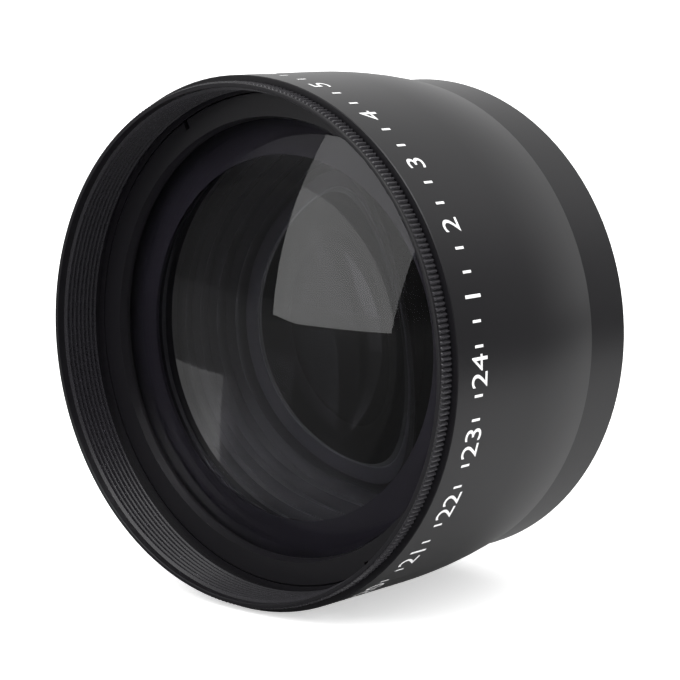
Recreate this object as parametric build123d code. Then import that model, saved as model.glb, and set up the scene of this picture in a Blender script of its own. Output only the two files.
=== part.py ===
# Screw-in front converter lens, in millimetres.
# The optical axis is Y. The front glass faces -Y, +Z is up, and the origin is on the axis
# in the plane of the rear seat, where the male mount thread leaves the body.
# Stations are distances behind the front rim, and place() turns one into a Y value.
# The radii step inwards from the barrel's, piece by piece, by the walls and ledges named here.
import os
from math import cos, pi, radians, sin, sqrt

from build123d import *

# Outer shape
body_length = 40.3  # front rim to rear seat
barrel_radius = 35.0
rim_inset = 0.95  # how far the plain front rim lies inside the barrel's surface
knurl_rise = 0.2  # tips of the teeth over the plain rim
knurl_depth = 0.25
knurl_teeth = 320
lip_length = 0.25  # plain rim ahead of the teeth
knurl_length = 1.85
seam_gap = 0.15  # dark line between the knurl and the barrel
rear_length = 8.3  # smaller cylinder behind the shoulder
shoulder_length = 14.3
shoulder_drop = 1.27  # what the rounded shoulder loses before its sharp edge
rear_step = 0.37  # from that edge down to the rear cylinder
edge_chamfer = 0.3
rim_chamfer = 0.1

# Fits
running_gap = 0.05  # radial, round pieces that slide or turn in a bore
axial_gap = 0.1  # between faces that are not clamped together
glass_gap = 0.03  # between a curved glass face and the metal that holds it

# Filter thread in the front rim, 67 mm by 0.75 mm, and the light-trap ribs behind it
rim_wall = 0.55  # outside the thread's grooves
thread_pitch = 0.75
filter_turns = 3
rib_count = 5  # at the same pitch
rib_undercut = 0.1  # how much deeper than the thread the ribs are cut
rib_height = 0.16
lead_in_length = 1.1
relief_length = 0.9
thread_depth_share = 0.541  # of the pitch
crest_share = 0.25  # of the pitch
root_share = 0.125  # of the pitch

# Front cell behind the filter thread
barrel_front_wall = 1.0  # of the barrel, over the cell's sleeve
sleeve_overlap = 1.5  # of the sleeve, past the retaining ring
washer_thickness = 0.2
cell_step_width = 1.55  # from the sleeve down to the cell's thread
cell_thread_turns = 4
cell_tail_step = 1.7  # from that thread down to the plain tail
cell_lip_thickness = 2.05  # behind the seat of the second glass
cell_lip_width = 1.4
thrust_washer_inset = 0.1

# Front retaining ring and the slip washer under it
ring_ledge = 0.8  # the ring is this much narrower than the filter thread
front_ring_width = 3.2
front_ring_thickness = 1.5
front_ring_bevel = 0.35
throat_step = 0.3  # the ring's rear edge reaches this much further in than its face
slip_thickness = 0.15
slot_width = 0.8
slot_depth = 0.8
slot_length = 1.3
slot_angle = 120.0

# Front optics
front_glass_overlap = 1.3  # of the glass under the ring
front_curve = 80.0
front_back_curve = 110.0
front_centre = 5.0
second_glass_step = 4.5  # how much smaller the second glass is
second_curve = 110.0
second_back_curve = 90.0
second_edge = 2.2
air_space = 0.5
spacer_lip_width = 2.0  # of the spacer, over the second glass

# Baffle tube and stop
baffle_steps = 6
baffle_front_wall = 4.7
baffle_back_margin = 1.5  # of the last step, outside the stop's opening
baffle_gap = 0.3  # between the front cell and the tube
stop_overlap = 0.8  # of the stop, inside the rear cell's lip
stop_thickness = 0.7
stop_bevel_width = 1.6
stop_edge_thickness = 0.25

# Rear barrel, cell and mount
barrel_end_wall = 1.68  # of the barrel, over the rear barrel's skirt
skirt_length = 6.0
flange_inset = 1.16  # the mount ring's flange lies this far inside the rear barrel's surface
flange_ledge = 2.65  # that the flange rests on
shim_ledge = 1.9  # that the shim rests on
counterbore_depth = 4.8  # from the rear seat
shim_thickness = 0.2
cell_flange_thickness = 1.3
rear_cell_lip = 1.0
rear_cell_pilot = 1.6
waist_clearance = 3.3  # between the mount ring's bore and the rear cell
rear_cell_wall = 2.0  # at its thread
rear_cell_tail = 2.3  # behind the rear seat
seat_width = 3.2  # of the rear seat, outside the mount thread
flange_thickness = 1.2
mount_turns = 4  # of the 58 mm by 0.75 mm thread
mount_plain = 0.35
mount_wall = 3.1
notch_width = 1.6
notch_depth = 0.9

# Rear optics, held from behind
rear_glass_step = 1.55  # from the ring's thread down to the glass
rear_glass_lip = 1.2  # of the cell, over the glass
rear_front_curve = 80.0
rear_inner_curve = 60.0
rear_centre = 1.8
rear_air_space = 0.12
last_back_curve = 150.0
last_centre = 3.6
rear_slip_width = 1.4
rear_ring_overlap = 0.2  # of the ring, inside its washer
rear_ring_thickness = 1.6
rear_slot_length = 1.2

# Screws of the mount ring
screw_count = 3
screw_radius = 0.65
screw_head_radius = 1.15
screw_head_depth = 0.55
screw_length = 4.0
screw_recess_width = 0.3
screw_recess_depth = 0.3

overrun = 1.0  # how far a cutter passes the face it opens

# Radii worked out from the sizes above, from the outside in
rim_radius = barrel_radius - rim_inset
knurl_radius = rim_radius + knurl_rise
shoulder_radius = barrel_radius - shoulder_drop
rear_radius = shoulder_radius - rear_step
thread_depth = thread_pitch * thread_depth_share
filter_major_radius = rim_radius - rim_wall
filter_minor_radius = filter_major_radius - thread_depth
relief_radius = filter_major_radius + rib_undercut
rib_radius = relief_radius - rib_height
barrel_bore_radius = barrel_radius - barrel_front_wall
sleeve_radius = barrel_bore_radius - running_gap
cell_thread_radius = sleeve_radius - cell_step_width
cell_tail_radius = cell_thread_radius - cell_tail_step
middle_bore_radius = cell_tail_radius + running_gap
front_ring_radius = filter_major_radius - ring_ledge
front_ring_mouth_radius = front_ring_radius - front_ring_width
front_ring_throat_radius = front_ring_mouth_radius - throat_step
front_glass_radius = front_ring_throat_radius + front_glass_overlap
cell_bore_radius = front_glass_radius + running_gap
second_glass_radius = front_glass_radius - second_glass_step
spacer_mouth_radius = second_glass_radius - spacer_lip_width
cell_lip_radius = second_glass_radius - cell_lip_width
skirt_thread_bore = shoulder_radius - barrel_end_wall
skirt_radius = skirt_thread_bore - running_gap
flange_radius = rear_radius - flange_inset
counterbore_radius = flange_radius - flange_ledge
skirt_bore_radius = counterbore_radius - shim_ledge
mount_major_radius = flange_radius - seat_width
mount_minor_radius = mount_major_radius - thread_depth
mount_bore_radius = mount_major_radius - mount_wall
screw_circle = (mount_major_radius + flange_radius) / 2
rear_cell_waist_radius = mount_bore_radius - waist_clearance
rear_thread_bore = rear_cell_waist_radius - rear_cell_wall
rear_ring_radius = rear_thread_bore - running_gap
rear_glass_radius = rear_ring_radius - rear_glass_step
rear_bore_radius = rear_glass_radius + running_gap
rear_cell_lip_radius = rear_glass_radius - rear_glass_lip
rear_slip_radius = rear_glass_radius - rear_slip_width
rear_ring_bore_radius = rear_slip_radius - rear_ring_overlap
stop_radius = rear_cell_lip_radius - stop_overlap
stop_edge_radius = stop_radius + stop_bevel_width
baffle_front_radius = cell_tail_radius - baffle_front_wall
baffle_back_radius = stop_radius + baffle_back_margin


def sag(curve, radius):
    """Depth of a spherical face of the given curve at a radius."""
    return curve - sqrt(curve**2 - radius**2)


# Stations worked out from the sizes above, from the front to the rear
knurl_end = lip_length + knurl_length
barrel_front = knurl_end + seam_gap
filter_end = lead_in_length + filter_turns * thread_pitch
ribs_end = filter_end + rib_count * thread_pitch
ring_front = ribs_end + relief_length
ring_back = ring_front + front_ring_thickness
front_vertex = ring_back + slip_thickness - sag(front_curve, front_ring_throat_radius)
front_back_vertex = front_vertex + front_centre
front_back_rim = front_back_vertex + sag(front_back_curve, front_glass_radius)
second_vertex = front_back_vertex + air_space
second_back_rim = second_vertex + sag(second_curve, second_glass_radius) + second_edge
second_back_vertex = second_back_rim + sag(second_back_curve, second_glass_radius)
spacer_back = front_back_rim + air_space
sleeve_end = ring_back + sleeve_overlap
cell_step = sleeve_end + washer_thickness
cell_thread_end = cell_step + cell_thread_turns * thread_pitch
cell_end = second_back_rim + cell_lip_thickness
baffle_front = cell_end + baffle_gap
shoulder_end = body_length - rear_length
shoulder_start = shoulder_end - shoulder_length
skirt_front = shoulder_end - skirt_length
counterbore_front = body_length - counterbore_depth
rear_flange_front = counterbore_front + shim_thickness
rear_flange_back = rear_flange_front + cell_flange_thickness
flange_front = body_length - flange_thickness
mount_end = body_length + 2 * mount_plain + mount_turns * thread_pitch
rear_cell_end = body_length + rear_cell_tail
rear_ring_back = rear_cell_end - 2 * thread_pitch * crest_share
rear_ring_front = rear_ring_back - rear_ring_thickness
last_back_rim = rear_ring_front - slip_thickness
last_back_vertex = last_back_rim - sag(last_back_curve, rear_glass_radius)
last_front_vertex = last_back_vertex - last_centre
last_front_rim = last_front_vertex + sag(rear_inner_curve, rear_glass_radius)
negative_back_vertex = last_front_vertex - rear_air_space
negative_front_vertex = negative_back_vertex - rear_centre
negative_front_rim = negative_front_vertex - sag(rear_front_curve, rear_glass_radius)
rear_cell_front = negative_front_rim - rear_cell_lip
stop_front = rear_cell_front - stop_thickness


def place(radius, station):
    """A profile point: distance from the axis, and Y from a station."""
    return (radius, station - body_length)


def turned(points):
    """Turn a closed outline of (radius, station) points about the axis."""
    corners = [place(radius, station) for radius, station in points]
    return revolve(make_face(Polyline(*corners, close=True)), Axis.Y)


def curved(curve, vertex, inner, outer):
    """Spherical face as an arc from one radius to another, bulging to the front."""
    middle = (inner + outer) / 2
    ends = [place(r, vertex + sag(curve, r)) for r in (inner, middle, outer)]
    return ThreePointArc(*ends)


def hollow(curve, vertex, inner, outer):
    """Spherical face as an arc that bulges to the rear."""
    middle = (inner + outer) / 2
    ends = [place(r, vertex - sag(curve, r)) for r in (inner, middle, outer)]
    return ThreePointArc(*ends)


def closed(*edges):
    """Turn an outline of joined edges about the axis."""
    return revolve(make_face(list(edges)), Axis.Y)


def lens(front, back):
    """A lens between two arcs that start on the axis and end at its edge."""
    edge = Line(front @ 1, back @ 1)
    axis = Line(back @ 0, front @ 0)
    return closed(front, edge, back, axis)


def thread_points(start, turns, crest, root):
    """Crests and grooves of a thread, as points from the front to the rear."""
    flank = thread_pitch * (1 - crest_share - root_share) / 2
    points = []
    for turn in range(turns):
        groove = start + turn * thread_pitch + thread_pitch * crest_share / 2
        points += [
            (crest, groove),
            (root, groove + flank),
            (root, groove + flank + thread_pitch * root_share),
            (crest, groove + 2 * flank + thread_pitch * root_share),
        ]
    return points


def slots(face, outer, length, width, depth, angle, towards_rear):
    """Two spanner slots cut in a ring's face, opposite each other."""
    reach = depth + overrun
    middle = face + (depth - overrun) / 2 if towards_rear else face - (depth - overrun) / 2
    cutters = []
    for turn in (angle, angle + 180):
        box = Box(length + overrun, reach, width)
        box = Pos(outer - (length - overrun) / 2, middle - body_length, 0) * box
        cutters.append(Rot(0, -turn, 0) * box)
    return cutters


# Front group
def knurl():
    """Straight teeth around the rim, as one toothed outline drawn along the axis."""
    step = 2 * pi / knurl_teeth
    outline = []
    for tooth in range(knurl_teeth):
        for share, radius in ((0, knurl_radius), (0.5, knurl_radius - knurl_depth)):
            turn = (tooth + share) * step
            outline.append((radius * cos(turn), radius * sin(turn)))
    face = make_face(Polyline(*outline, close=True)) - Circle(filter_major_radius + rim_chamfer)
    teeth = extrude(face, knurl_length)
    return Pos(0, knurl_end - body_length, 0) * Rot(90, 0, 0) * teeth


def front_cell():
    """Knurled rim, filter thread, light-trap ribs and the cell that holds the front glasses."""
    seat_depth = second_back_rim + glass_gap
    lip_rise = sag(second_back_curve, second_glass_radius) - sag(second_back_curve, cell_lip_radius)
    outline = [
        (rim_radius, 0),
        (rim_radius, knurl_end),
        (sleeve_radius, knurl_end),
        (sleeve_radius, sleeve_end),
        (cell_thread_radius, sleeve_end),
        (cell_thread_radius, cell_thread_end),
        (cell_tail_radius, cell_thread_end),
        (cell_tail_radius, cell_end),
        (cell_lip_radius, cell_end),
        (cell_lip_radius, seat_depth + lip_rise),
        (second_glass_radius + running_gap, seat_depth),
        (second_glass_radius + running_gap, spacer_back),
        (cell_bore_radius, spacer_back),
        (cell_bore_radius, ring_back + axial_gap),
        (front_ring_radius + running_gap, ring_back + axial_gap),
        (front_ring_radius + running_gap, ring_front),
        (relief_radius, ring_front),
        (relief_radius, ribs_end),
        (rib_radius, ribs_end),
    ]
    ribs = thread_points(filter_end, rib_count, rib_radius, relief_radius)
    grooves = thread_points(lead_in_length, filter_turns, filter_minor_radius, filter_major_radius)
    outline += list(reversed(ribs))
    outline += [(rib_radius, filter_end), (filter_minor_radius, filter_end)]
    outline += list(reversed(grooves))
    outline += [
        (filter_minor_radius, lead_in_length),
        (filter_major_radius, lead_in_length),
        (filter_major_radius, rim_chamfer),
        (filter_major_radius + rim_chamfer, 0),
    ]
    return turned(outline) + knurl()


def front_retaining_ring():
    """Ring that clamps the front glass, with two spanner slots."""
    ring = turned([
        (front_ring_mouth_radius, ring_front),
        (front_ring_radius - front_ring_bevel / 2, ring_front),
        (front_ring_radius, ring_front + front_ring_bevel / 2),
        (front_ring_radius, ring_back),
        (front_ring_throat_radius, ring_back),
        (front_ring_throat_radius, ring_back - front_ring_bevel),
    ])
    cutters = slots(ring_front, front_ring_radius, slot_length, slot_width, slot_depth, slot_angle, True)
    for cutter in cutters:
        ring -= cutter
    return ring


def front_slip_washer():
    """Thin washer that lets the ring turn without dragging on the glass."""
    inner = front_ring_throat_radius + glass_gap
    outer = front_glass_radius - running_gap
    front = ring_back
    rise = sag(front_curve, outer) - sag(front_curve, front_ring_throat_radius)
    return turned([
        (front_ring_throat_radius, front),
        (outer, front),
        (outer, front + rise + slip_thickness - glass_gap),
        (inner, front + slip_thickness - glass_gap),
        (front_ring_throat_radius, front + slip_thickness - glass_gap),
    ])


def front_element():
    """Large front glass, bulging to the front and hollow behind."""
    front = curved(front_curve, front_vertex, 0, front_glass_radius)
    back = curved(front_back_curve, front_back_vertex, 0, front_glass_radius)
    return lens(front, back)


def front_spacer_ring():
    """Black ring between the two front glasses, which is the dark rim seen through the glass."""
    outer = front_glass_radius
    inner = spacer_mouth_radius
    pocket = second_glass_radius + running_gap
    front = curved(front_back_curve, front_back_vertex + glass_gap, inner, outer)
    back = curved(second_curve, second_vertex - glass_gap, inner, pocket)
    step = place(pocket, spacer_back)
    corner = place(outer, spacer_back)
    return closed(
        front,
        Line(front @ 1, corner),
        Line(corner, step),
        Line(step, back @ 1),
        back,
        Line(back @ 0, front @ 0),
    )


def second_element():
    """Second glass of the front group, bulging both ways."""
    front = curved(second_curve, second_vertex, 0, second_glass_radius)
    back = hollow(second_back_curve, second_back_vertex, 0, second_glass_radius)
    return lens(front, back)


def front_thrust_washer():
    """Washer between the front cell's step and the step in the barrel."""
    inner = cell_thread_radius + thrust_washer_inset
    outer = sleeve_radius - thrust_washer_inset
    return turned([(inner, sleeve_end), (outer, sleeve_end), (outer, cell_step), (inner, cell_step)])


# Barrel
def main_barrel():
    """Printed outer barrel with its long rounded shoulder."""
    drop = barrel_radius - shoulder_radius
    run = shoulder_end - shoulder_start
    radius = (run**2 + drop**2) / (2 * drop)
    half = shoulder_start + run / 2
    bulge = place(barrel_radius - sag(radius, run / 2), half)
    start = place(barrel_radius, shoulder_start)
    end = place(shoulder_radius, shoulder_end)
    shoulder = ThreePointArc(start, bulge, end)
    tail_bore = skirt_front - axial_gap
    corners = [
        (shoulder_radius, shoulder_end),
        (skirt_thread_bore, shoulder_end),
        (skirt_thread_bore, tail_bore),
        (middle_bore_radius, tail_bore),
        (middle_bore_radius, cell_thread_end + axial_gap),
        (cell_thread_radius + running_gap, cell_thread_end + axial_gap),
        (cell_thread_radius + running_gap, cell_step),
        (barrel_bore_radius, cell_step),
        (barrel_bore_radius, barrel_front),
        (barrel_radius - rim_chamfer, barrel_front),
        (barrel_radius, barrel_front + rim_chamfer),
        (barrel_radius, shoulder_start),
    ]
    path = Polyline(*[place(radius, station) for radius, station in corners])
    return closed(shoulder, path)


def baffle_tube():
    """Light trap between the glass groups, with steps that close in to the rear."""
    length = stop_front - baffle_front
    step = length / baffle_steps
    shrink = (baffle_front_radius - baffle_back_radius) / (baffle_steps - 1)
    outline = [
        (cell_tail_radius, baffle_front),
        (cell_tail_radius, skirt_front),
        (skirt_bore_radius - running_gap, skirt_front),
        (skirt_bore_radius - running_gap, stop_front),
    ]
    for index in reversed(range(baffle_steps)):
        radius = baffle_front_radius - index * shrink
        outline += [
            (radius, baffle_front + (index + 1) * step),
            (radius, baffle_front + index * step),
        ]
    return turned(outline)


def aperture_stop():
    """Disc with a thin edge that limits the beam ahead of the rear glasses."""
    outer = skirt_bore_radius - running_gap
    return turned([
        (stop_radius, stop_front),
        (outer, stop_front),
        (outer, rear_cell_front),
        (stop_edge_radius, rear_cell_front),
        (stop_radius, stop_front + stop_edge_thickness),
    ])


# Rear group
def rear_barrel():
    """Smaller rear cylinder, whose skirt screws into the main barrel."""
    body = turned([
        (skirt_bore_radius, skirt_front),
        (skirt_radius, skirt_front),
        (skirt_radius, shoulder_end),
        (rear_radius, shoulder_end),
        (rear_radius, body_length - edge_chamfer),
        (rear_radius - edge_chamfer, body_length),
        (flange_radius + running_gap, body_length),
        (flange_radius + running_gap, flange_front),
        (counterbore_radius, flange_front),
        (counterbore_radius, counterbore_front),
        (skirt_bore_radius, counterbore_front),
    ])
    for x, z in screw_places():
        body -= pillar(x, z, screw_radius + rim_chamfer / 2, -screw_length - axial_gap, overrun)
    return body


def rear_cell_shim():
    """Thin ring that sets the distance between the two glass groups."""
    inner = skirt_bore_radius + edge_chamfer
    outer = counterbore_radius - rim_chamfer
    return turned([
        (inner, counterbore_front),
        (outer, counterbore_front),
        (outer, rear_flange_front),
        (inner, rear_flange_front),
    ])


def rear_cell():
    """Cell of the rear glasses, with a pilot, a flange and a threaded tail."""
    pilot = skirt_bore_radius - running_gap
    return turned([
        (rear_cell_lip_radius, rear_cell_front),
        (pilot, rear_cell_front),
        (pilot, rear_cell_front + rear_cell_pilot),
        (rear_cell_waist_radius, rear_cell_front + rear_cell_pilot),
        (rear_cell_waist_radius, rear_flange_front),
        (counterbore_radius - running_gap, rear_flange_front),
        (counterbore_radius - running_gap, rear_flange_back),
        (rear_cell_waist_radius, rear_flange_back),
        (rear_cell_waist_radius, rear_cell_end),
        (rear_thread_bore, rear_cell_end),
        (rear_thread_bore, last_front_rim + last_glass_edge() / 2),
        (rear_bore_radius, last_front_rim + last_glass_edge() / 2),
        (rear_bore_radius, negative_front_rim),
        (rear_cell_lip_radius, negative_front_rim),
    ])


def last_glass_edge():
    """Edge thickness of the last glass."""
    return last_back_rim - last_front_rim


def rear_negative_element():
    """Hollow glass of the rear group, thin in the middle."""
    front = hollow(rear_front_curve, negative_front_vertex, 0, rear_glass_radius)
    back = curved(rear_inner_curve, negative_back_vertex, 0, rear_glass_radius)
    return lens(front, back)


def rear_element_spacer():
    """Foil ring that keeps the two rear glasses apart."""
    inner = rear_cell_lip_radius
    outer = rear_glass_radius
    front = curved(rear_inner_curve, negative_back_vertex + glass_gap, inner, outer)
    back = curved(rear_inner_curve, last_front_vertex - glass_gap, inner, outer)
    return closed(front, Line(front @ 1, back @ 1), back, Line(back @ 0, front @ 0))


def rear_positive_element():
    """Last glass, which fits the hollow of the one ahead of it."""
    front = curved(rear_inner_curve, last_front_vertex, 0, rear_glass_radius)
    back = curved(last_back_curve, last_back_vertex, 0, rear_glass_radius)
    return lens(front, back)


def rear_slip_washer():
    """Washer between the last glass and its retaining ring."""
    return turned([
        (rear_slip_radius, last_back_rim),
        (rear_glass_radius, last_back_rim),
        (rear_glass_radius, rear_ring_front),
        (rear_slip_radius, rear_ring_front),
    ])


def rear_retaining_ring():
    """Ring that clamps the rear glasses, with two spanner slots."""
    ring = turned([
        (rear_ring_bore_radius, rear_ring_front),
        (rear_ring_radius, rear_ring_front),
        (rear_ring_radius, rear_ring_back),
        (rear_ring_bore_radius + front_ring_bevel, rear_ring_back),
        (rear_ring_bore_radius, rear_ring_back - front_ring_bevel),
    ])
    cutters = slots(rear_ring_back, rear_ring_radius, rear_slot_length, slot_width, slot_depth, 0, False)
    for cutter in cutters:
        ring -= cutter
    return ring


def rear_mount_ring():
    """Mount ring: a pilot, a flush flange and the male thread behind it."""
    outline = [
        (mount_bore_radius, rear_flange_back),
        (counterbore_radius - running_gap, rear_flange_back),
        (counterbore_radius - running_gap, flange_front),
        (flange_radius, flange_front),
        (flange_radius, body_length),
        (mount_major_radius, body_length),
    ]
    thread_front = body_length + mount_plain
    outline += thread_points(thread_front, mount_turns, mount_major_radius, mount_minor_radius)
    outline += [
        (mount_major_radius, mount_end - mount_plain),
        (mount_major_radius - mount_plain, mount_end),
        (mount_bore_radius, mount_end),
    ]
    ring = turned(outline)
    notch_length = mount_wall + overrun
    cutters = slots(mount_end, mount_major_radius, notch_length, notch_width, notch_depth, 0, False)
    for cutter in cutters:
        ring -= cutter
    for x, z in screw_places():
        ring -= pillar(x, z, screw_radius + running_gap, -flange_thickness - overrun, overrun)
        ring -= countersink(x, z, screw_head_radius + running_gap)
    return ring


def screw_places():
    """Centres of the mount screws, evenly spaced with one at the top."""
    turns = [radians(90 + 360 * index / screw_count) for index in range(screw_count)]
    return [(screw_circle * cos(turn), screw_circle * sin(turn)) for turn in turns]


def pillar(x, z, radius, front, back):
    """Round bar along the axis between two Y values."""
    bar = Cylinder(radius, back - front)
    return Pos(x, (front + back) / 2, z) * Rot(90, 0, 0) * bar


def countersink(x, z, radius):
    """Cone of a screw head, flush with the rear seat."""
    cone = Cone(radius, radius - screw_head_depth, screw_head_depth)
    return Pos(x, -screw_head_depth / 2, z) * Rot(90, 0, 0) * cone


def mount_ring_screws():
    """Countersunk screws with a cross recess, one group."""
    screws = []
    for x, z in screw_places():
        screw = pillar(x, z, screw_radius, -screw_length, -screw_head_depth / 2)
        screw += countersink(x, z, screw_head_radius)
        recess_length = 2 * screw_radius
        for width, height in ((recess_length, screw_recess_width), (screw_recess_width, recess_length)):
            screw -= Pos(x, 0, z) * Box(width, 2 * screw_recess_depth, height)
        screws.append(screw)
    return Compound(children=screws)


parts = {
    "front_cell": front_cell,
    "front_retaining_ring": front_retaining_ring,
    "front_slip_washer": front_slip_washer,
    "front_element": front_element,
    "front_spacer_ring": front_spacer_ring,
    "second_element": second_element,
    "front_thrust_washer": front_thrust_washer,
    "main_barrel": main_barrel,
    "baffle_tube": baffle_tube,
    "aperture_stop": aperture_stop,
    "rear_barrel": rear_barrel,
    "rear_cell_shim": rear_cell_shim,
    "rear_cell": rear_cell,
    "rear_negative_element": rear_negative_element,
    "rear_element_spacer": rear_element_spacer,
    "rear_positive_element": rear_positive_element,
    "rear_slip_washer": rear_slip_washer,
    "rear_retaining_ring": rear_retaining_ring,
    "rear_mount_ring": rear_mount_ring,
    "mount_ring_screws": mount_ring_screws,
}

os.makedirs("parts", exist_ok=True)
for name, make in parts.items():
    export_step(make(), f"parts/{name}.step")
print("overall length", round(mount_end, 2), "mm, diameter", 2 * barrel_radius, "mm")
print("front glass from", round(front_vertex, 2), "to", round(front_back_vertex, 2), "mm")
print("second glass from", round(second_vertex, 2), "to", round(second_back_vertex, 2), "mm")
print("cell end", round(cell_end, 2), "skirt front", round(skirt_front, 2), "mm")
print("rear cell front", round(rear_cell_front, 2), "flange", round(rear_flange_front, 2), "mm")
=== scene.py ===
# Screw-in telephoto converter lens: glasses, threads, knurl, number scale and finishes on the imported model
import math

import bmesh
import bpy
from mathutils import Matrix, Vector


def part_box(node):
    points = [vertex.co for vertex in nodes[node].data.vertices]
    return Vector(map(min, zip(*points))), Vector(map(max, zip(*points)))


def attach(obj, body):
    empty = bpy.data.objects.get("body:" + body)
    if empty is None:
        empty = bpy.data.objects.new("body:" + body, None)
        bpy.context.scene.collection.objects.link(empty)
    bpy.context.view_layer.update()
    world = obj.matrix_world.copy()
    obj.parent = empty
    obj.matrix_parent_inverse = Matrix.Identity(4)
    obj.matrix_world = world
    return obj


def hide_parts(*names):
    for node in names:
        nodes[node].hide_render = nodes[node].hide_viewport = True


mm = 0.001
samePoint = 1e-4 * mm  # points closer than this are one
seamGap = 1e-3 * mm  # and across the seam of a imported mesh
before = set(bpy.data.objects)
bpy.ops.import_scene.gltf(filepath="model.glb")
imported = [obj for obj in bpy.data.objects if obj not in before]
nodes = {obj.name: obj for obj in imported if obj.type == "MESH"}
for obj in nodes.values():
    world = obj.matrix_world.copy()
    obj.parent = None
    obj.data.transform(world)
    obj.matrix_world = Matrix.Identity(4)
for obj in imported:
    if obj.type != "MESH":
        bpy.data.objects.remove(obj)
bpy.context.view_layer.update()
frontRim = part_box("front_cell")[0].y  # every station is a distance behind this Y
print("frame loaded,", len(nodes), "nodes, front rim at", round(frontRim / mm, 2), "mm")


# sRGB hex to a linear colour
def fromHex(code):
    parts = [int(code[i : i + 2], 16) / 255 for i in (1, 3, 5)]
    linear = [part / 12.92 if part <= 0.04045 else ((part + 0.055) / 1.055) ** 2.4 for part in parts]
    return (*linear, 1.0)


# Add a node, set its properties, and set or link its inputs, by name or as input0, input1
def addNode(tree, kind, settings=None, **inputs):
    node = tree.nodes.new(kind)
    for name, value in (settings or {}).items():
        setattr(node, name, value)
    for name, value in inputs.items():
        numbered = name.startswith("input")
        socket = node.inputs[int(name[5:]) if numbered else name.replace("_", " ")]
        if isinstance(value, bpy.types.NodeSocket):
            tree.links.new(value, socket)
        else:
            socket.default_value = value
    return node


def newMaterial(name, **sockets):
    material = bpy.data.materials.new(name)
    material.use_nodes = True
    shader = material.node_tree.nodes["Principled BSDF"]
    for socket, value in sockets.items():
        shader.inputs[socket.replace("_", " ")].default_value = value
    return material, material.node_tree, shader


# A point at a radius and a station in mm, turned about the optical axis from +X towards +Z
def place(radius, station, turn=0.0):
    return Vector((radius * mm * math.cos(turn), frontRim + station * mm, radius * mm * math.sin(turn)))


# An outline point may carry a third number, the radius in mm that its corner is rounded to
def rounded(outline, steps=4):
    points = []
    for index, point in enumerate(outline):
        if len(point) == 2:
            points.append(point)
            continue
        corner = Vector(point[:2])
        before = (Vector(outline[index - 1][:2]) - corner).normalized()
        after = (Vector(outline[(index + 1) % len(outline)][:2]) - corner).normalized()
        half = before.angle(after) / 2
        centre = corner + (before + after).normalized() * point[2] / math.sin(half)
        first = corner + before * point[2] / math.tan(half) - centre
        last = corner + after * point[2] / math.tan(half) - centre
        for step in range(steps + 1):
            bent = first.lerp(last, step / steps).normalized() * point[2] + centre
            points.append((bent.x, bent.y))
    return points


# Smooth faces, with sharp edges where the surface turns by more than an angle in degrees
def finishMesh(bm, mesh, sharpest=28.0):
    for face in bm.faces:
        face.smooth = True
    for edge in bm.edges:
        edge.smooth = not edge.is_manifold or edge.calc_face_angle(0) < math.radians(sharpest)
    bm.to_mesh(mesh)
    bm.free()


# Turn a closed outline of (radius, station) points about the optical axis
def turnedPiece(name, outline, material, segments=256):
    bm = bmesh.new()
    rings = []
    turns = [2 * math.pi * i / segments for i in range(segments)]
    for radius, station in rounded(outline):
        used = turns if radius else turns[:1]
        rings.append([bm.verts.new(place(radius, station, turn)) for turn in used])
    for ring, following in zip(rings, rings[1:] + rings[:1]):
        for i in range(segments):
            j = (i + 1) % segments
            corners = [ring[i % len(ring)], ring[j % len(ring)]]
            corners += [following[j % len(following)], following[i % len(following)]]
            corners = list(dict.fromkeys(corners))
            if len(corners) > 2:
                bm.faces.new(corners)
    bmesh.ops.recalc_face_normals(bm, faces=bm.faces)
    mesh = bpy.data.meshes.new(name)
    mesh.materials.append(material)
    finishMesh(bm, mesh)
    return bpy.data.objects.new(name, mesh)


# A tree with named inputs, whose last nodes realise and paint what it makes
def newTree(name, **inputs):
    tree = bpy.data.node_groups.new(name, "GeometryNodeTree")
    for title, kind in inputs.items():
        tree.interface.new_socket(title.replace("_", " "), in_out="INPUT", socket_type="NodeSocket" + kind)
    tree.interface.new_socket("Material", in_out="INPUT", socket_type="NodeSocketMaterial")
    tree.interface.new_socket("Geometry", in_out="OUTPUT", socket_type="NodeSocketGeometry")
    return tree, addNode(tree, "NodeGroupInput").outputs


def endTree(tree, given, shape):
    real = addNode(tree, "GeometryNodeRealizeInstances", Geometry=shape)
    painted = addNode(tree, "GeometryNodeSetMaterial", Geometry=real.outputs[0], Material=given["Material"])
    addNode(tree, "NodeGroupOutput", Geometry=painted.outputs[0])


# Run a tree on a mesh and keep the result as a plain mesh object
def grown(name, tree, material, start=None, **values):
    carrier = bpy.data.objects.new(name, start or bpy.data.meshes.new(name))
    bpy.context.scene.collection.objects.link(carrier)
    modifier = carrier.modifiers.new("nodes", "NODES")
    modifier.node_group = tree
    values = {title.replace("_", " "): value for title, value in values.items()} | {"Material": material}
    for item in tree.interface.items_tree:
        if item.in_out == "INPUT" and item.name in values:
            modifier[item.identifier] = values[item.name]
    mesh = bpy.data.meshes.new_from_object(carrier.evaluated_get(bpy.context.evaluated_depsgraph_get()))
    bpy.data.objects.remove(carrier)
    bm = bmesh.new()
    bm.from_mesh(mesh)
    bmesh.ops.remove_doubles(bm, verts=bm.verts, dist=samePoint)
    for face in bm.faces:
        face.material_index = 0
    mesh.materials.clear()
    mesh.materials.append(material)
    finishMesh(bm, mesh)
    return bpy.data.objects.new(name, mesh)


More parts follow.
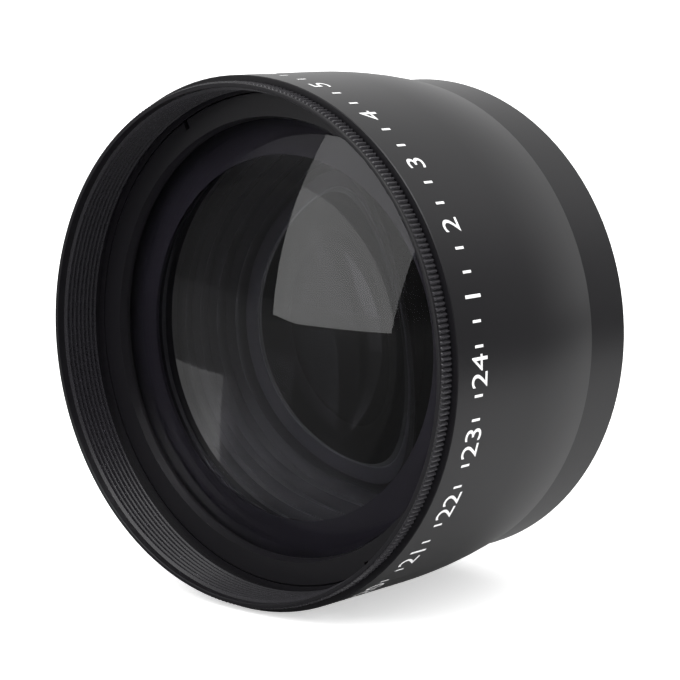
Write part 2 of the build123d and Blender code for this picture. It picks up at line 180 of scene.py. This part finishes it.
# One mesh of several, each with its own material
def joined(name, *pieces):
    mesh = bpy.data.meshes.new(name)
    bm = bmesh.new()
    for piece in pieces:
        first = len(bm.faces)
        bm.from_mesh(piece.data)
        bm.faces.ensure_lookup_table()
        slots = []
        for material in piece.data.materials:
            if material.name not in mesh.materials:
                mesh.materials.append(material)
            slots.append(mesh.materials.find(material.name))
        for face in bm.faces[first:]:
            face.material_index = slots[face.material_index]
    bm.to_mesh(mesh)
    bm.free()
    return bpy.data.objects.new(name, mesh)


def addPiece(piece, body, slot, *replaced):
    bpy.context.scene.collection.objects.link(piece)
    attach(piece, body)
    if replaced:
        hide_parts(*replaced)


# Copies of the object's own mesh, evenly spaced about the optical axis
def makeCopiesTree():
    tree, given = newTree("copies_about_axis", Shape="Geometry", Count="Int")
    points = addNode(tree, "GeometryNodePoints", Count=given["Count"])
    index = addNode(tree, "GeometryNodeInputIndex")
    divide, multiply = {"operation": "DIVIDE"}, {"operation": "MULTIPLY"}
    share = addNode(tree, "ShaderNodeMath", divide, input0=index.outputs[0], input1=given["Count"])
    turn = addNode(tree, "ShaderNodeMath", multiply, input0=share.outputs[0], input1=-2 * math.pi)
    spin = addNode(tree, "ShaderNodeCombineXYZ", Y=turn.outputs[0])
    copies = addNode(
        tree,
        "GeometryNodeInstanceOnPoints",
        Points=points.outputs[0],
        Instance=given["Shape"],
        Rotation=spin.outputs[0],
    )
    endTree(tree, given, copies.outputs[0])
    return tree


# A ridge wound right-handed about the optical axis, which runs out at both ends in a quarter turn
def makeThreadTree():
    tree, given = newTree(
        "thread_ridge",
        Turns="Float",
        Pitch="Float",
        Wall_Radius="Float",
        Rise="Float",  # towards the crest, below zero for a thread in a bore
        Foot="Float",
        Crest="Float",
        Start="Float",
        Steps="Int",
    )
    multiply = {"operation": "MULTIPLY"}
    length = addNode(tree, "ShaderNodeMath", multiply, input0=given["Turns"], input1=given["Pitch"])
    spiral = addNode(
        tree,
        "GeometryNodeCurveSpiral",
        Resolution=given["Steps"],
        Rotations=given["Turns"],
        Start_Radius=given["Wall Radius"],
        End_Radius=given["Wall Radius"],
        Height=length.outputs[0],
        Reverse=True,
    )
    line = addNode(tree, "GeometryNodeSetCurveNormal", {"mode": "Z_UP"}, Curve=spiral.outputs[0])
    height = addNode(tree, "ShaderNodeMath", {"operation": "ABSOLUTE"}, input0=given["Rise"])
    profile = addNode(
        tree,
        "GeometryNodeCurvePrimitiveQuadrilateral",
        {"mode": "TRAPEZOID"},
        Height=height.outputs[0],
        Bottom_Width=given["Foot"],
        Top_Width=given["Crest"],
        Offset=0.0,
    )
    half = addNode(tree, "ShaderNodeMath", multiply, input0=given["Rise"], input1=0.5)
    lift = addNode(tree, "ShaderNodeCombineXYZ", X=half.outputs[0])
    side = addNode(tree, "ShaderNodeMath", {"operation": "SIGN"}, input0=given["Rise"])
    lean = addNode(tree, "ShaderNodeMath", multiply, input0=side.outputs[0], input1=-math.pi / 2)
    facing = addNode(tree, "ShaderNodeCombineXYZ", Z=lean.outputs[0])
    standing = addNode(
        tree,
        "GeometryNodeTransform",
        Geometry=profile.outputs[0],
        Rotation=facing.outputs[0],
        Translation=lift.outputs[0],
    )
    # The share of the line from its nearer end, times 4 for each turn, reaches 1 after a quarter turn
    middle, quarters = 0.5, 4.0
    bounce, clamped = {"operation": "PINGPONG"}, {"operation": "MULTIPLY", "use_clamp": True}
    along = addNode(tree, "GeometryNodeSplineParameter").outputs["Factor"]
    ends = addNode(tree, "ShaderNodeMath", bounce, input0=along, input1=middle)
    count = addNode(tree, "ShaderNodeMath", multiply, input0=given["Turns"], input1=quarters)
    fade = addNode(tree, "ShaderNodeMath", clamped, input0=ends.outputs[0], input1=count.outputs[0])
    ridge = addNode(
        tree,
        "GeometryNodeCurveToMesh",
        Curve=line.outputs[0],
        Profile_Curve=standing.outputs[0],
        Scale=fade.outputs[0],
    )
    shift = addNode(tree, "ShaderNodeCombineXYZ", Y=given["Start"])
    turned = addNode(
        tree,
        "GeometryNodeTransform",
        Geometry=ridge.outputs[0],
        Rotation=(-math.pi / 2, 0, 0),
        Translation=shift.outputs[0],
    )
    endTree(tree, given, turned.outputs[0])
    return tree


copiesTree = makeCopiesTree()
threadTree = makeThreadTree()


def threadRidge(name, thread, material):
    keys = {"Pitch": "pitch", "Wall_Radius": "wall", "Rise": "rise", "Foot": "foot", "Crest": "crest"}
    sizes = {title: thread[key] * mm for title, key in keys.items()}
    start = frontRim + thread["start"] * mm
    counts = {"Turns": thread["turns"], "Steps": thread["steps"]}
    return grown(name, threadTree, material, Start=start, **counts, **sizes)


# Camera at the photograph's angle
cameraView = {
    "turn": 40.955,  # degrees round the lens from straight ahead
    "rise": 8.675,  # degrees above the axis
    "right": -0.3928,  # where the front rim's centre stands from the camera, in barrel radii
    "down": 0.0304,
    "away": 8.4743,
    "barrelRadius": 35.0,  # mm
    "focal": 121.76,
    "sensor": 36.0,
    "nearest": 0.01,  # m, the range that the camera sees
    "farthest": 20.0,
}


def makeCamera(view):
    turn, rise = math.radians(view["turn"]), math.radians(view["rise"])
    ahead = Vector((-math.sin(turn) * math.cos(rise), math.cos(turn) * math.cos(rise), -math.sin(rise)))
    right = Vector((math.cos(turn), math.sin(turn), 0))
    up = right.cross(ahead)
    offset = view["right"] * right - view["down"] * up + view["away"] * ahead
    data = bpy.data.cameras.new("camera")
    data.lens, data.sensor_width = view["focal"], view["sensor"]
    data.clip_start, data.clip_end = view["nearest"], view["farthest"]
    camera = bpy.data.objects.new("camera", data)
    axes = Matrix((right, up, -ahead)).transposed().to_4x4()
    camera.matrix_world = Matrix.Translation(place(0, 0) - offset * view["barrelRadius"] * mm) @ axes
    bpy.context.scene.collection.objects.link(camera)
    bpy.context.scene.camera = camera


makeCamera(cameraView)
print("camera placed")


# Finishes
anodised = {
    "colour": "#0f0e11",  # black dye in the oxide layer
    "grainColour": "#161518",
    "ramp": (0.35, 0.65),  # levels of the grain between which one colour passes into the other
    "grain": 0.14,  # mm, the matt etch under the oxide, drawn coarser than real so that it shows
    "detail": 3.0,
    "roughness": 0.33,
    "bump": 0.004,  # mm
}
machined = anodised | {"roughness": 0.3}
# The knurl's lighter grey is a painted sheen on the teeth, and the thread is a lighter grey as well
paintedSheenKnurl = anodised | {"colour": "#2a292c", "grainColour": "#39383b", "roughness": 0.22}
lighterThread = anodised | {"colour": "#1a191c", "grainColour": "#262529", "roughness": 0.22}


# Matt etched and black anodised aluminium: a soft wide sheen over a very dark grey
def anodisedMetal(name, metal):
    material, tree, shader = newMaterial(name, Roughness=metal["roughness"])
    coordinates = addNode(tree, "ShaderNodeTexCoord").outputs["Object"]
    scale = 1 / (metal["grain"] * mm)
    grain = addNode(tree, "ShaderNodeTexNoise", Vector=coordinates, Scale=scale, Detail=metal["detail"])
    colours = addNode(tree, "ShaderNodeValToRGB", Fac=grain.outputs["Fac"])
    for element, key, position in zip(colours.color_ramp.elements, ("colour", "grainColour"), metal["ramp"]):
        element.color = fromHex(metal[key])
        element.position = position
    bump = addNode(tree, "ShaderNodeBump", Height=grain.outputs["Fac"], Distance=metal["bump"] * mm)
    tree.links.new(colours.outputs["Color"], shader.inputs["Base Color"])
    tree.links.new(bump.outputs["Normal"], shader.inputs["Normal"])
    return material


# One colour over a fine grain of a size and depth in mm
def grainedFinish(name, colour, grain, depth, detail=2.0, **sockets):
    material, tree, shader = newMaterial(name, Base_Color=fromHex(colour), **sockets)
    coordinates = addNode(tree, "ShaderNodeTexCoord").outputs["Object"]
    noise = addNode(tree, "ShaderNodeTexNoise", Vector=coordinates, Scale=1 / (grain * mm), Detail=detail)
    bump = addNode(tree, "ShaderNodeBump", Height=noise.outputs["Fac"], Distance=depth * mm)
    tree.links.new(bump.outputs["Normal"], shader.inputs["Normal"])
    return material


satin = {"Roughness": 0.3, "Specular_IOR_Level": 1.0}
brass = {"Roughness": 0.32, "Metallic": 1.0}
steel = {"Roughness": 0.36, "Metallic": 0.6}
matt = {"Roughness": 0.8, "Specular_IOR_Level": 0.2}
# Turned parts shine a little more than the etched barrel. The teeth are greyer, a painted sheen that
# brightens them, and the threads are greyer too
barrelMetal = anodisedMetal("black_anodised_aluminium", anodised)
turnedMetal = anodisedMetal("black_anodised_turned_aluminium", machined)
knurlMetal = anodisedMetal("worn_black_anodised_knurl", paintedSheenKnurl)
threadMetal = anodisedMetal("worn_black_anodised_thread", lighterThread)
# Moulding leaves a satin shine, film is dull and near black, brass glints warm and oxidised steel dark
# The moulded grey is lighter than black plastic, a painted sheen that brightens the baffle's rings
mouldedBlack = grainedFinish("satin_black_moulded_plastic", "#39383b", grain=0.2, depth=0.006, **satin)
filmBlack = grainedFinish("black_polyester_film", "#141415", grain=0.3, depth=0.004, Roughness=0.45)
rolledBrass = grainedFinish("rolled_brass", "#b8944c", grain=0.2, depth=0.003, **brass)
oxideSteel = grainedFinish("black_oxide_steel", "#202022", grain=0.15, depth=0.004, **steel)
# Paint on a lens edge takes up light, and printed ink is a flat white
lensPaint = grainedFinish("black_lens_edge_paint", "#0a0a0b", grain=0.3, depth=0.004, **matt)
# The spacer's violet grey is a painted reflection, the sheen of the coated glass in front of it
spacerPaintedReflection = grainedFinish("worn_black_spacer_paint", "#312f38", grain=0.3, depth=0.004, Roughness=0.6)
# The stop is a lighter grey than the parts round it, to show a soft ring there
stopPaint = grainedFinish("worn_black_stop_paint", "#626166", grain=0.3, depth=0.004, Roughness=0.5)
whiteInk = grainedFinish("white_screen_print_ink", "#ececec", grain=0.15, depth=0.004, Roughness=0.5)

# A coated face mirrors more than plain glass, and a bloomed one next to nothing
crown, flint = fromHex("#f3f1f7"), fromHex("#f1f3f5")
glass = {"Roughness": 0.0, "IOR": 1.52, "Transmission_Weight": 1.0}
coated = glass | {"Coat_Weight": 0.5, "Coat_Roughness": 0.0, "Coat_IOR": 1.55}
bloomed = glass | {"Specular_Tint": fromHex("#000000")}
frontGlass = newMaterial("polished_crown_glass", Base_Color=crown, **glass)[0]
brightFace = newMaterial("unbloomed_crown_glass", Base_Color=crown, **coated)[0]
innerGlass = newMaterial("polished_flint_glass", Base_Color=flint, **glass)[0]
bloomedFace = newMaterial("bloomed_crown_glass", Base_Color=crown, **bloomed)[0]
bloomedInner = newMaterial("bloomed_flint_glass", Base_Color=flint, **bloomed)[0]
print("finishes made")


# Front cell, in mm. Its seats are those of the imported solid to 0.01 mm, and its rim has rounded edges
frontCell = {
    "rim": 34.05,
    "lip": 0.28,
    "knurlEnd": 2.1,
    "toothRoot": 33.98,
    "toothTip": 34.25,
    "toothFoot": 0.56,
    "toothTop": 0.16,
    "toothEnd": 0.12,  # slope at both ends of a tooth
    "teeth": 320,
    "edge": 0.08,
    "mouth": 33.5,
    "relief": 33.6,
    "threadEnd": 7.1,
    "ringSeat": 8.0,
    "ringBore": 32.75,
    "glassSeat": 9.6,
    "glassBore": 30.55,
    "spacerSeat": 13.94,
    "secondBore": 26.05,
    "secondSeat": 14.977,
    "lipRise": 0.411,
    "lipBore": 24.6,
    "tail": 16.9975,
    "tailRadius": 30.7,
    "threadRadius": 32.4,
    "cellThreadEnd": 14.2,
    "sleeve": 33.95,
    "sleeveEnd": 11.0,
}
filterThread = {
    "turns": 8.0,
    "pitch": 0.75,
    "wall": 33.5,
    "rise": -0.406,
    "foot": 0.62,
    "crest": 0.16,
    "start": 1.1,
    "steps": 256,
}


def frontCellShell(cell):
    outline = [
        (cell["rim"], 0, cell["edge"]),
        (cell["rim"], cell["lip"], cell["edge"] / 2),
        (cell["toothRoot"], cell["lip"]),
        (cell["toothRoot"], cell["knurlEnd"] - cell["edge"]),
        (cell["toothRoot"] - cell["edge"], cell["knurlEnd"]),
        (cell["sleeve"] - cell["edge"], cell["knurlEnd"]),
        (cell["sleeve"] - cell["edge"], cell["sleeveEnd"]),
        (cell["threadRadius"], cell["sleeveEnd"]),
        (cell["threadRadius"], cell["cellThreadEnd"]),
        (cell["tailRadius"], cell["cellThreadEnd"]),
        (cell["tailRadius"], cell["tail"]),
        (cell["lipBore"], cell["tail"]),
        (cell["lipBore"], cell["secondSeat"] + cell["lipRise"]),
        (cell["secondBore"], cell["secondSeat"]),
        (cell["secondBore"], cell["spacerSeat"]),
        (cell["glassBore"], cell["spacerSeat"]),
        (cell["glassBore"], cell["glassSeat"]),
        (cell["ringBore"], cell["glassSeat"]),
        (cell["ringBore"], cell["ringSeat"]),
        (cell["relief"], cell["ringSeat"]),
        (cell["relief"], cell["threadEnd"]),
        (cell["mouth"], cell["threadEnd"]),
        (cell["mouth"], 0, cell["edge"]),
    ]
    return turnedPiece("front_cell_shell", outline, turnedMetal)


# One knurl tooth at +X: a ridge along the axis with a flat top and sloping ends
def knurlTooth(cell):
    bm = bmesh.new()
    foot = cell["toothRoot"] - cell["edge"] / 2
    sides = [-cell["toothFoot"] / 2, -cell["toothTop"] / 2, cell["toothTop"] / 2, cell["toothFoot"] / 2]
    first, last, slope = cell["lip"], cell["knurlEnd"], cell["toothEnd"]
    rows = []
    for station, rise in ((first, 0), (first + slope, 1), (last - slope, 1), (last, 0)):
        top = cell["toothRoot"] + rise * (cell["toothTip"] - cell["toothRoot"])
        row = []
        for radius, side in zip((foot, top, top, foot), sides):
            row.append(bm.verts.new(place(radius, station) + Vector((0, 0, side * mm))))
        rows.append(row)
    for row, following in zip(rows, rows[1:]):
        for i in range(len(sides) - 1):
            bm.faces.new((row[i], following[i], following[i + 1], row[i + 1]))
    for face in bm.faces:
        face.normal_update()
        if face.normal.x < 0:
            face.normal_flip()
    mesh = bpy.data.meshes.new("knurl_tooth")
    bm.to_mesh(mesh)
    bm.free()
    return mesh


teeth = grown("knurl_teeth", copiesTree, knurlMetal, knurlTooth(frontCell), Count=frontCell["teeth"])
filterRidge = threadRidge("filter_thread", filterThread, threadMetal)
dressedCell = joined("knurled_front_cell", frontCellShell(frontCell), filterRidge, teeth)
addPiece(dressedCell, "front_cell", "anodised_metal", "front_cell")
print("front cell made,", len(dressedCell.data.polygons), "faces")


# Glasses, in mm. A curve above zero bulges to the front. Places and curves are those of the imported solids,
# but for the back of the front glass, which the solid has at 9.13 with a curve of 110
frontLens = {
    "radius": 30.5,
    "vertex": 4.13,
    "curve": 80.0,
    "backVertex": 7.13,
    "backCurve": 80.0,
    "clear": 21.5,  # radius inside which the front face is coated
}
secondLens = {"radius": 26.0, "vertex": 9.63, "curve": 110.0, "backVertex": 18.784, "backCurve": -90.0}
hollowLens = {"radius": 19.0, "vertex": 33.747, "curve": -80.0, "backVertex": 35.547, "backCurve": 60.0}
lastLens = {"radius": 19.0, "vertex": 35.667, "curve": 60.0, "backVertex": 39.267, "backCurve": 150.0}
lensSteps = {"inner": 44, "outer": 16, "back": 60, "round": 192}  # along the outline, and round the axis
# A face is on the edge if its normal leans less than this along the axis, this near to the radius in mm
lensEdge = {"tilt": 0.1, "margin": 0.01}


def faceArc(curve, vertex, inner, outer, steps):
    points = []
    for step in range(steps + 1):
        radius = inner + (outer - inner) * step / steps
        depth = abs(curve) - math.sqrt(curve**2 - radius**2)
        points.append((radius, vertex + math.copysign(depth, curve)))
    return points


# A lens with a painted edge. One with a clear radius has a bloomed back, and its front is coated inside it
def lensPiece(name, shape, material):
    clear = shape.get("clear", shape["radius"])
    front = faceArc(shape["curve"], shape["vertex"], 0, clear, lensSteps["inner"])
    if clear < shape["radius"]:
        front += faceArc(shape["curve"], shape["vertex"], clear, shape["radius"], lensSteps["outer"])[1:]
    back = faceArc(shape["backCurve"], shape["backVertex"], 0, shape["radius"], lensSteps["back"])
    lens = turnedPiece(name, front + list(reversed(back)), material, lensSteps["round"])
    for other in (lensPaint, brightFace, bloomedFace):
        lens.data.materials.append(other)
    painted, bright, dull = 1, 2, 3
    for face in lens.data.polygons:
        radius = math.hypot(face.center.x, face.center.z) / mm
        if abs(face.normal.y) < lensEdge["tilt"] and radius > shape["radius"] - lensEdge["margin"]:
            face.material_index = painted
        elif "clear" in shape and face.normal.y > 0:
            face.material_index = dull
        elif "clear" in shape and radius < clear:
            face.material_index = bright
    return lens


addPiece(lensPiece("front_glass", frontLens, frontGlass), "front_cell", "front_glass", "front_element")
addPiece(lensPiece("second_glass", secondLens, bloomedInner), "front_cell", "clear_glass", "second_element")
hollowGlass = lensPiece("rear_hollow_glass", hollowLens, bloomedInner)
addPiece(hollowGlass, "barrel", "clear_glass", "rear_negative_element")
addPiece(lensPiece("rear_last_glass", lastLens, innerGlass), "barrel", "clear_glass", "rear_positive_element")
print("glasses made")


# Number scale round the barrel: plain white numbers with two ticks between them
numberScale = {
    "numbers": 24,
    "radius": 35.012,  # of the printed face, a film of ink on the barrel
    "foot": 8.05,  # station of the figures' feet, their tops towards the front
    "height": 3.05,
    "digitHeight": 0.691,  # of the built-in font at size 1
    "tickFoot": 7.3,
    "tickTop": 5.7,
    "tickWidth": 0.34,
    "ticks": (5.0, 10.0),  # degrees past each number
}


def printedNumbers(scale):
    bm = bmesh.new()
    for number in range(1, scale["numbers"] + 1):
        words = bpy.data.curves.new("figure", "FONT")
        words.body = str(number)
        words.size = scale["height"] / scale["digitHeight"]
        words.align_x = "CENTER"
        carrier = bpy.data.objects.new("figure", words)
        bpy.context.scene.collection.objects.link(carrier)
        flat = bpy.data.meshes.new_from_object(carrier)
        centre = 2 * math.pi * number / scale["numbers"]
        for vertex in flat.vertices:
            turn = centre + vertex.co.x / scale["radius"]
            vertex.co = place(scale["radius"], scale["foot"] - vertex.co.y, turn)
        bm.from_mesh(flat)
        bpy.data.objects.remove(carrier)
        bpy.data.curves.remove(words)
        bpy.data.meshes.remove(flat)
    mesh = bpy.data.meshes.new("numbers")
    mesh.materials.append(whiteInk)
    finishMesh(bm, mesh)
    return bpy.data.objects.new("numbers", mesh)


def printedTicks(scale):
    bm = bmesh.new()
    for angle in scale["ticks"]:
        half = scale["tickWidth"] / scale["radius"] / 2
        sides = [math.radians(angle) + half, math.radians(angle) - half]
        corners = [place(scale["radius"], scale["tickFoot"], turn) for turn in sides]
        corners += [place(scale["radius"], scale["tickTop"], turn) for turn in reversed(sides)]
        bm.faces.new([bm.verts.new(corner) for corner in corners])
    unit = bpy.data.meshes.new("ticks")
    bm.to_mesh(unit)
    bm.free()
    return grown("ticks", copiesTree, whiteInk, unit, Count=scale["numbers"])


addPiece(joined("number_scale", printedNumbers(numberScale), printedTicks(numberScale)), "barrel", None)
print("number scale made")


# The same shape as a CAD node, welded along the seam where its shading would show a line
def weldedCopy(name, material):
    bm = bmesh.new()
    bm.from_mesh(nodes[name].data)
    bmesh.ops.remove_doubles(bm, verts=bm.verts, dist=seamGap)
    mesh = bpy.data.meshes.new(name + "_welded")
    mesh.materials.append(material)
    for face in bm.faces:
        face.material_index = 0
    finishMesh(bm, mesh)
    mesh.normals_split_custom_set([(0, 0, 0)] * len(mesh.loops))
    return bpy.data.objects.new(name + "_welded", mesh)


addPiece(weldedCopy("main_barrel", barrelMetal), "barrel", "anodised_metal", "main_barrel")
addPiece(weldedCopy("rear_barrel", barrelMetal), "barrel", "anodised_metal", "rear_barrel")

# CAD nodes that keep their shape
kept = {
    "front_retaining_ring": turnedMetal,
    "front_slip_washer": filmBlack,
    "front_spacer_ring": spacerPaintedReflection,
    "front_thrust_washer": filmBlack,
    "baffle_tube": mouldedBlack,
    "aperture_stop": stopPaint,
    "rear_cell_shim": rolledBrass,
    "rear_cell": turnedMetal,
    "rear_element_spacer": filmBlack,
    "rear_slip_washer": filmBlack,
    "rear_retaining_ring": turnedMetal,
    "rear_mount_ring": turnedMetal,
    "mount_ring_screws": oxideSteel,
}
for name, material in kept.items():
    slots = nodes[name].material_slots
    if slots:
        slots[0].material = material
    else:
        nodes[name].data.materials.append(material)
print("CAD nodes finished")


# Studio: a white table, a white backdrop behind, and two softboxes ahead
studio = {
    "floorDrop": 35.0,  # mm below the axis, where the barrel touches
    "floorSize": 4000.0,
    "floorColour": "#f6f6f6",
    # Painted light on the table that only metal and glass mirror: a pool of light, with painted shade outside
    # it
    "paintedLitColour": "#b8b8b8",  # what metal and glass mirror of the lit table
    "paintedUnlitColour": "#505050",  # and of the unlit one
    "tableGlow": 0.5,  # light added to the table where the camera sees it, so that only a faint shadow stays
    "tableCorner": (-103.0, -107.0),  # mm, X and Y of the lit table's front corner
    "leftSlope": -0.43,  # Y per X along the edge that runs left from that corner
    "rightSlope": 0.93,  # and along the edge that runs right
    "frontLimit": -30.0,  # mm, and goes no further back than this
    "fadeStart": 80.0,  # mm to the right of the axis, where the lit table begins to darken
    "fadeEnd": 200.0,
    "dimStart": -20.0,  # mm to the left of the axis, where it begins to darken too
    "dimEnd": -100.0,
    "dimShare": 0.6,  # of the way to the unlit colour, beyond that
    "white": 1.4,  # strength of the light that falls on everything
    "room": 0.08,  # what metal and glass mirror of the unlit room, near the horizon
    "backdrop": 0.85,  # of the backdrop behind
    "overhead": 0.65,  # and of the light overhead
    "backdropTurn": 35.0,  # degrees from +Y towards -X, where the backdrop stands
    "backdropEdge": (0.25, 0.65),  # cosines from that direction between which it ends
    "overheadEdge": (0.22, 0.72),  # sines of the elevation between which that light begins
    "aim": 5.0,  # mm, the station that both softboxes face
}

# Angles in degrees as seen from the lens, the azimuth from -Y towards +X. Lengths in m and power in W
frontSoftbox = {
    "azimuth": -19.0,
    "elevation": 17.0,
    "distance": 0.45,
    "width": 0.26,
    "height": 0.38,
    "roll": -10.0,
    "power": 0.42,
}
highSoftbox = {
    "azimuth": 16.0,
    "elevation": 45.0,
    "distance": 0.9,
    "width": 0.70,
    "height": 0.56,
    "roll": 0.0,
    "power": 4.0,
}


def addSoftbox(name, box):
    azimuth, elevation = math.radians(box["azimuth"]), math.radians(box["elevation"])
    level = math.cos(elevation)
    out = Vector((math.sin(azimuth) * level, -math.cos(azimuth) * level, math.sin(elevation)))
    data = bpy.data.lights.new(name, "AREA")
    data.shape, data.size, data.size_y = "RECTANGLE", box["width"], box["height"]
    data.energy = box["power"]
    lamp = bpy.data.objects.new(name, data)
    turn = out.to_track_quat("Z", "Y").to_matrix() @ Matrix.Rotation(math.radians(box["roll"]), 3, "Z")
    lamp.matrix_world = Matrix.Translation(place(0, studio["aim"]) + out * box["distance"]) @ turn.to_4x4()
    bpy.context.scene.collection.objects.link(lamp)


addSoftbox("front_softbox", frontSoftbox)
addSoftbox("high_softbox", highSoftbox)


# White table. What metal and glass mirror of it is a painted pool of light, dim ahead of its lit edges and to
# both sides
def makeFloor(setup):
    half, drop = setup["floorSize"] * mm / 2, -setup["floorDrop"] * mm
    corners = [(-half, -half, drop), (half, -half, drop), (half, half, drop), (-half, half, drop)]
    mesh = bpy.data.meshes.new("floor")
    mesh.from_pydata(corners, [], [(0, 1, 2, 3)])
    material, tree, shader = newMaterial("white_table", Roughness=1.0, Specular_IOR_Level=0.0)
    coordinates = addNode(tree, "ShaderNodeTexCoord").outputs["Object"]
    split = addNode(tree, "ShaderNodeSeparateXYZ", Vector=coordinates)
    along = {"operation": "MULTIPLY_ADD"}
    lines = []
    for slope in (setup["leftSlope"], setup["rightSlope"]):
        start = (setup["tableCorner"][1] - slope * setup["tableCorner"][0]) * mm
        line = addNode(tree, "ShaderNodeMath", along, input0=split.outputs["X"], input1=slope, input2=start)
        lines.append(line.outputs[0])
    smaller, larger = {"operation": "MINIMUM"}, {"operation": "MAXIMUM"}
    near = addNode(tree, "ShaderNodeMath", smaller, input0=lines[1], input1=setup["frontLimit"] * mm)
    edge = addNode(tree, "ShaderNodeMath", larger, input0=lines[0], input1=near.outputs[0])
    below = {"operation": "LESS_THAN"}
    ahead = addNode(tree, "ShaderNodeMath", below, input0=split.outputs["Y"], input1=edge.outputs[0])
    smooth = {"interpolation_type": "SMOOTHSTEP"}
    fade = addNode(
        tree,
        "ShaderNodeMapRange",
        smooth,
        Value=split.outputs["X"],
        From_Min=setup["fadeStart"] * mm,
        From_Max=setup["fadeEnd"] * mm,
        To_Min=0.0,
        To_Max=1.0,
    )
    dim = addNode(
        tree,
        "ShaderNodeMapRange",
        smooth,
        Value=split.outputs["X"],
        From_Min=setup["dimEnd"] * mm,
        From_Max=setup["dimStart"] * mm,
        To_Min=setup["dimShare"],
        To_Max=0.0,
    )
    sides = addNode(tree, "ShaderNodeMath", larger, input0=dim.outputs[0], input1=fade.outputs[0])
    either = addNode(tree, "ShaderNodeMath", larger, input0=ahead.outputs[0], input1=sides.outputs[0])
    glossy = addNode(tree, "ShaderNodeLightPath").outputs["Is Glossy Ray"]
    kind = {"data_type": "RGBA"}  # whose two colours are inputs 6 and 7
    white, lit, unlit = [fromHex(setup[key]) for key in ("floorColour", "paintedLitColour", "paintedUnlitColour")]
    # Painted pool of light: the colour that metal and glass mirror is lit inside the table's edges and dim
    # outside them
    mirrored = addNode(tree, "ShaderNodeMix", kind, Factor=either.outputs[0], input6=lit, input7=unlit)
    colour = addNode(tree, "ShaderNodeMix", kind, Factor=glossy, input6=white, input7=mirrored.outputs[2])
    tree.links.new(colour.outputs[2], shader.inputs["Base Color"])
    seen = addNode(tree, "ShaderNodeLightPath").outputs["Is Camera Ray"]
    glow = addNode(tree, "ShaderNodeMath", {"operation": "MULTIPLY"}, input0=seen, input1=setup["tableGlow"])
    tree.links.new(glow.outputs[0], shader.inputs["Emission Strength"])
    mesh.materials.append(material)
    floor = bpy.data.objects.new("floor", mesh)
    bpy.context.scene.collection.objects.link(floor)


# White to the camera. Metal and glass mirror a dim room with a backdrop behind the lens and light overhead
def makeWorld(setup):
    world = bpy.data.worlds.new("studio")
    world.use_nodes = True
    bpy.context.scene.world = world
    tree = world.node_tree
    direction = addNode(tree, "ShaderNodeTexCoord").outputs["Generated"]
    split = addNode(tree, "ShaderNodeSeparateXYZ", Vector=direction)
    turn = math.radians(setup["backdropTurn"])
    axis = (-math.sin(turn), math.cos(turn), 0)
    along = {"operation": "DOT_PRODUCT"}
    towards = addNode(tree, "ShaderNodeVectorMath", along, input0=direction, input1=axis)
    smooth = {"interpolation_type": "SMOOTHSTEP"}
    behind = addNode(
        tree,
        "ShaderNodeMapRange",
        smooth,
        Value=towards.outputs["Value"],
        From_Min=setup["backdropEdge"][0],
        From_Max=setup["backdropEdge"][1],
        To_Min=setup["room"],
        To_Max=setup["backdrop"],
    )
    above = addNode(
        tree,
        "ShaderNodeMapRange",
        smooth,
        Value=split.outputs["Z"],
        From_Min=setup["overheadEdge"][0],
        From_Max=setup["overheadEdge"][1],
        To_Min=behind.outputs[0],
        To_Max=setup["overhead"],
    )
    glossy = addNode(tree, "ShaderNodeLightPath").outputs["Is Glossy Ray"]
    mix = addNode(tree, "ShaderNodeMix", Factor=glossy, input2=setup["white"], input3=above.outputs[0])
    tree.links.new(mix.outputs[0], tree.nodes["Background"].inputs["Strength"])
    tree.nodes["Background"].inputs["Color"].default_value = (1, 1, 1, 1)


makeFloor(studio)
makeWorld(studio)
bpy.context.scene.view_settings.view_transform = "Standard"
print("studio made")
